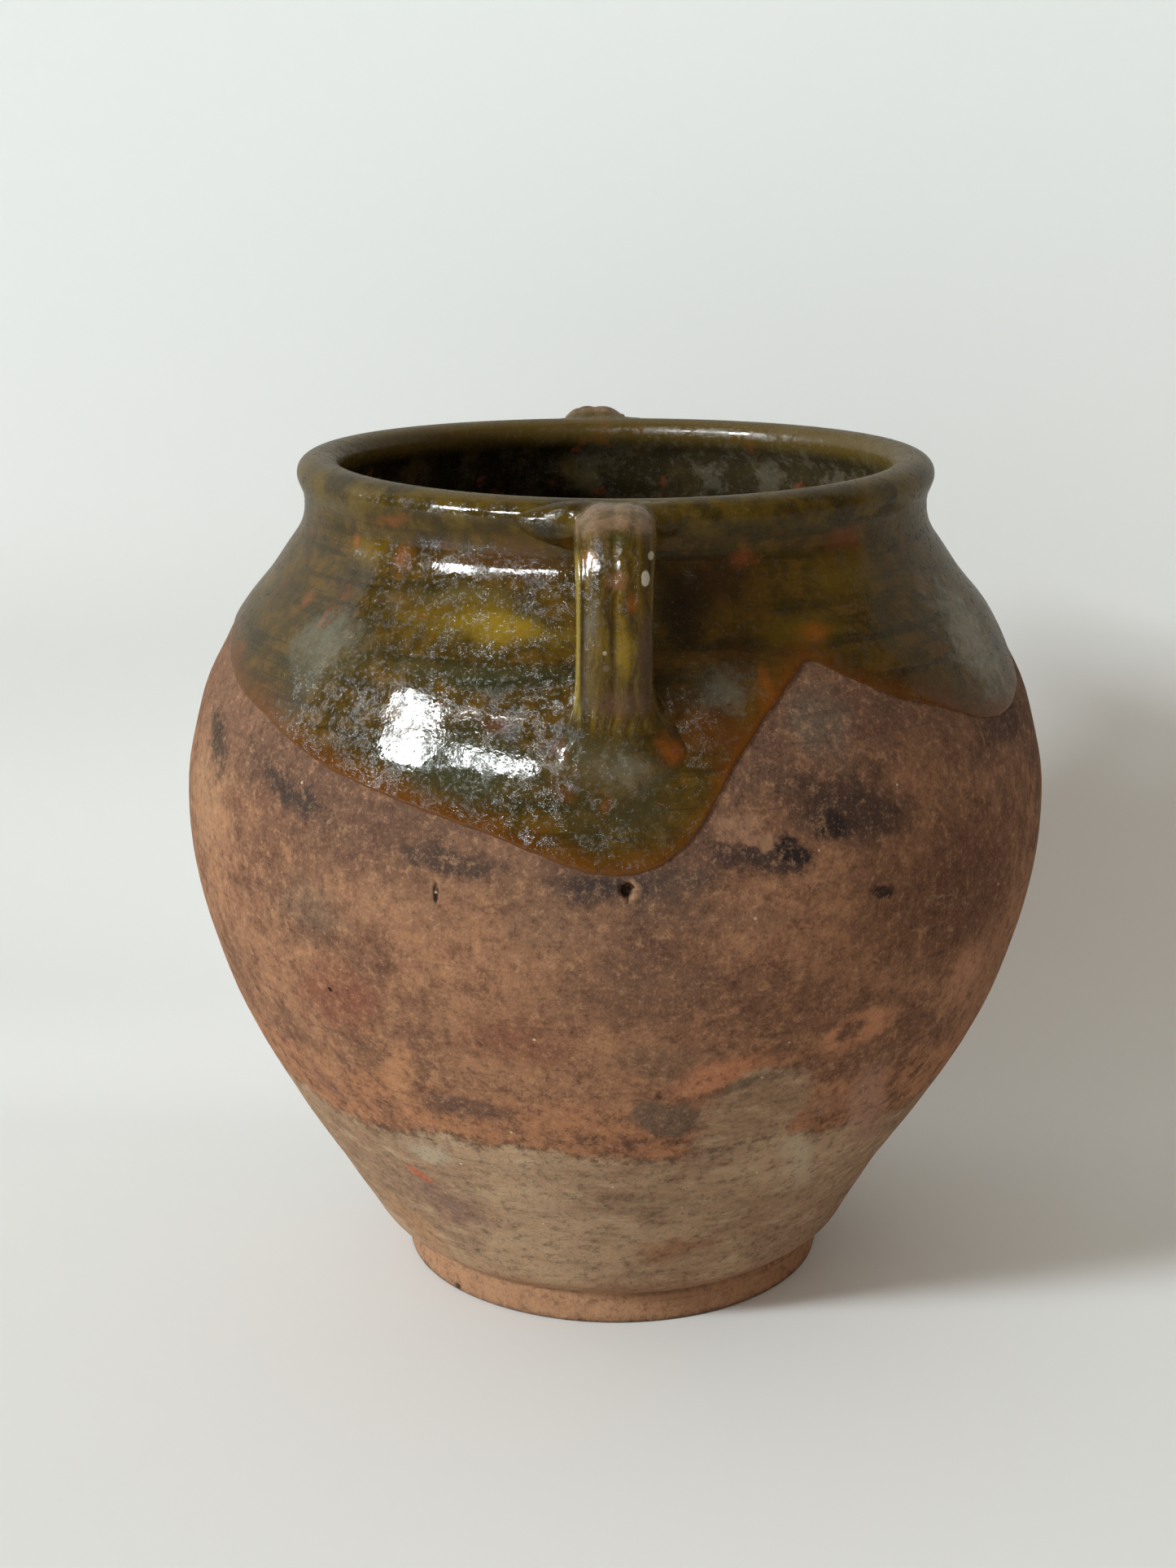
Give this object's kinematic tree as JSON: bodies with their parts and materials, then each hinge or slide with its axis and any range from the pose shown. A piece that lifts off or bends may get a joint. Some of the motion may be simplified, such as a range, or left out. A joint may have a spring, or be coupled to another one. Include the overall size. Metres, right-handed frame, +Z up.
{
  "type": "two-handled storage pot",
  "caption": "Round-bellied earthenware storage pot with a narrow foot, a wide rolled rim, strap handles and a poured glaze over shoulder and inside.",
  "frame": {"origin": "centre of the flat foot, on the surface that the pot stands on", "axes": "+Z up along the pot's axis; the front handle points to -Y, the back handle nearly to +Y"},
  "size_m": [0.3012, 0.3019, 0.2958],
  "materials": {
    "bare_clay": "matte",
    "outer_glaze": "gloss",
    "lining_glaze": "gloss",
    "handle_glaze": "gloss",
    "luting_glaze": "gloss"
  },
  "bodies": {
    "root": {"pot_body": "bare_clay", "outer_glaze_coat": "outer_glaze", "inner_glaze_lining": "lining_glaze", "front_handle": "handle_glaze", "back_handle": "handle_glaze", "front_upper_luting": "luting_glaze", "front_lower_luting": "luting_glaze", "back_upper_luting": "luting_glaze", "back_lower_luting": "luting_glaze"}
  },
  "joints": []
}
